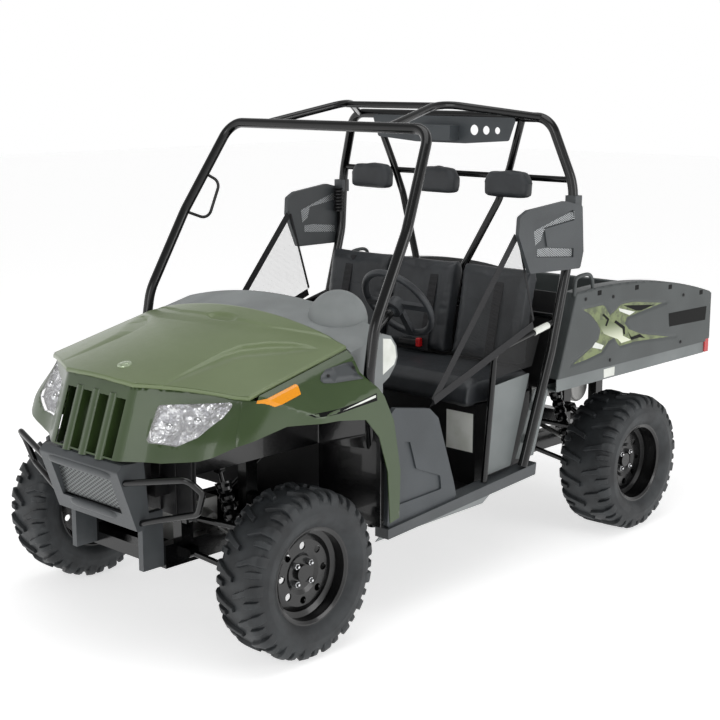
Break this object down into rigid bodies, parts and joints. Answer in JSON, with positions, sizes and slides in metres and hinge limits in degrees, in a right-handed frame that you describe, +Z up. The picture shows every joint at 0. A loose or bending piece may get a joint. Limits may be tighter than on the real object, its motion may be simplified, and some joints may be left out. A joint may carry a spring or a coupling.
{
  "type": "side by side utility vehicle",
  "caption": "Utility side-by-side with a tube cage, bench seat, lug tyres, front-hinged hood, tilting cargo box and drop tailgate.",
  "frame": {"origin": "on the ground, under the centre of the bounding box", "axes": "front faces -Y, the left side is +X, +Z up"},
  "size_m": [1.615, 3.4488, 2.0605],
  "materials": {
    "gloss_black_frame": "gloss black powder coat",
    "green_panel": "satin olive green moulding",
    "dark_green_panel": "satin dark green moulding",
    "grey_moulding": "grained dark grey moulding",
    "dash_grey": "fine grained grey moulding",
    "black_plastic": "black moulding",
    "silver_sheet": "silver grey paint",
    "vinyl": "black grained vinyl",
    "webbing": "black woven webbing",
    "clear_lens": "clear lens",
    "reflector": "bright reflector",
    "amber_lens": "amber lens",
    "red_lens": "red lens",
    "black_steel": "gloss black steel rim",
    "tyre": "black rubber",
    "alloy": "cast aluminium",
    "iron": "cast iron",
    "muffler_steel": "heat dulled steel",
    "spring_black": "black coil spring"
  },
  "bodies": {
    "chassis": {"chassis_frame": "gloss_black_frame", "front_subframe": "gloss_black_frame", "bed_subframe": "gloss_black_frame", "bumper_shell": "grey_moulding", "bumper_grille": "black_plastic", "bumper_tubes": "gloss_black_frame", "nose_panel": "dark_green_panel", "radiator": "black_plastic", "front_fenders": "dark_green_panel", "headlight_lenses": "clear_lens", "headlight_reflectors": "reflector", "side_markers": "amber_lens", "fender_vents": "grey_moulding", "wheel_liners": "black_plastic", "dash_panel": "dash_grey", "floor_pan": "black_plastic", "leg_guards": "grey_moulding", "rocker_sills": "grey_moulding", "sill_skirts": "silver_sheet", "seat_pedestal": "black_plastic", "seat_cushion": "vinyl", "seat_backs": "vinyl", "side_panels": "silver_sheet", "hip_bars": "gloss_black_frame", "side_nets": "webbing", "cage_front_hoop": "gloss_black_frame", "cage_roof": "gloss_black_frame", "cage_rear_hoop": "gloss_black_frame", "head_restraints": "vinyl", "overhead_panel": "black_plastic", "shoulder_guards": "grey_moulding", "seat_belts": "webbing", "engine_block": "alloy", "exhaust_muffler": "muffler_steel", "driveline": "alloy", "control_arms": "gloss_black_frame", "shock_absorbers": "spring_black", "steering_gear": "iron", "rear_knuckles": "iron"},
    "cargo_box": {"cargo_tub": "black_plastic", "box_side_panels": "grey_moulding", "box_rails": "silver_sheet", "tail_lamps": "red_lens"},
    "tailgate": {"tailgate": "grey_moulding"},
    "hood": {"hood": "green_panel"},
    "steering_wheel": {"steering_wheel": "black_plastic"},
    "rack": {"tie_rods": "iron"},
    "knuckle_left": {"knuckle_front_left": "iron"},
    "knuckle_right": {"knuckle_front_right": "iron"},
    "wheel_front_left": {"rim_front_left": "black_steel", "tyre_front_left": "tyre"},
    "wheel_front_right": {"rim_front_right": "black_steel", "tyre_front_right": "tyre"},
    "wheel_rear_left": {"rim_rear_left": "black_steel", "tyre_rear_left": "tyre"},
    "wheel_rear_right": {"rim_rear_right": "black_steel", "tyre_rear_right": "tyre"}
  },
  "joints": [
    {"name": "steer_left", "type": "hinge", "parent": "chassis", "child": "knuckle_left", "pos_m": [0.545, -1.22, 0.33], "axis": [0, 0, 1], "range_deg": [-28, 28]},
    {"name": "steer_right", "type": "hinge", "parent": "chassis", "child": "knuckle_right", "pos_m": [-0.545, -1.22, 0.33], "axis": [0, 0, 1], "range_deg": [-28.5, 28.5]},
    {"name": "rack_slide", "type": "slide", "parent": "chassis", "child": "rack", "axis": [1, 0, 0], "range_m": [-0.056, 0.056]},
    {"name": "steering_wheel_turn", "type": "hinge", "parent": "chassis", "child": "steering_wheel", "pos_m": [0.4, -0.345, 1.225], "axis": [0, 0.8211, 0.5707], "range_deg": [-260, 260]},
    {"name": "spin_front_left", "type": "hinge", "parent": "knuckle_left", "child": "wheel_front_left", "pos_m": [0.672, -1.22, 0.33], "axis": [1, 0, 0], "continuous": true},
    {"name": "spin_front_right", "type": "hinge", "parent": "knuckle_right", "child": "wheel_front_right", "pos_m": [-0.672, -1.22, 0.33], "axis": [1, 0, 0], "continuous": true},
    {"name": "spin_rear_left", "type": "hinge", "parent": "chassis", "child": "wheel_rear_left", "pos_m": [0.668, 0.98, 0.33], "axis": [1, 0, 0], "continuous": true},
    {"name": "spin_rear_right", "type": "hinge", "parent": "chassis", "child": "wheel_rear_right", "pos_m": [-0.668, 0.98, 0.33], "axis": [1, 0, 0], "continuous": true},
    {"name": "hood_hinge", "type": "hinge", "parent": "chassis", "child": "hood", "pos_m": [0, -1.602, 1.062], "axis": [1, 0, 0], "range_deg": [0, 60]},
    {"name": "bed_tilt", "type": "hinge", "parent": "chassis", "child": "cargo_box", "pos_m": [0, 1.49, 0.764], "axis": [-1, 0, 0], "range_deg": [0, 45]},
    {"name": "tailgate_hinge", "type": "hinge", "parent": "cargo_box", "child": "tailgate", "pos_m": [0, 1.706, 0.802], "axis": [-1, 0, 0], "range_deg": [0, 90]}
  ],
  "couplings": [
    {"joint": "steer_right", "follows": "steer_left", "ratio": 1},
    {"joint": "rack_slide", "follows": "steer_left", "m_per_rad": -0.11},
    {"joint": "steering_wheel_turn", "follows": "steer_left", "ratio": 9}
  ]
}
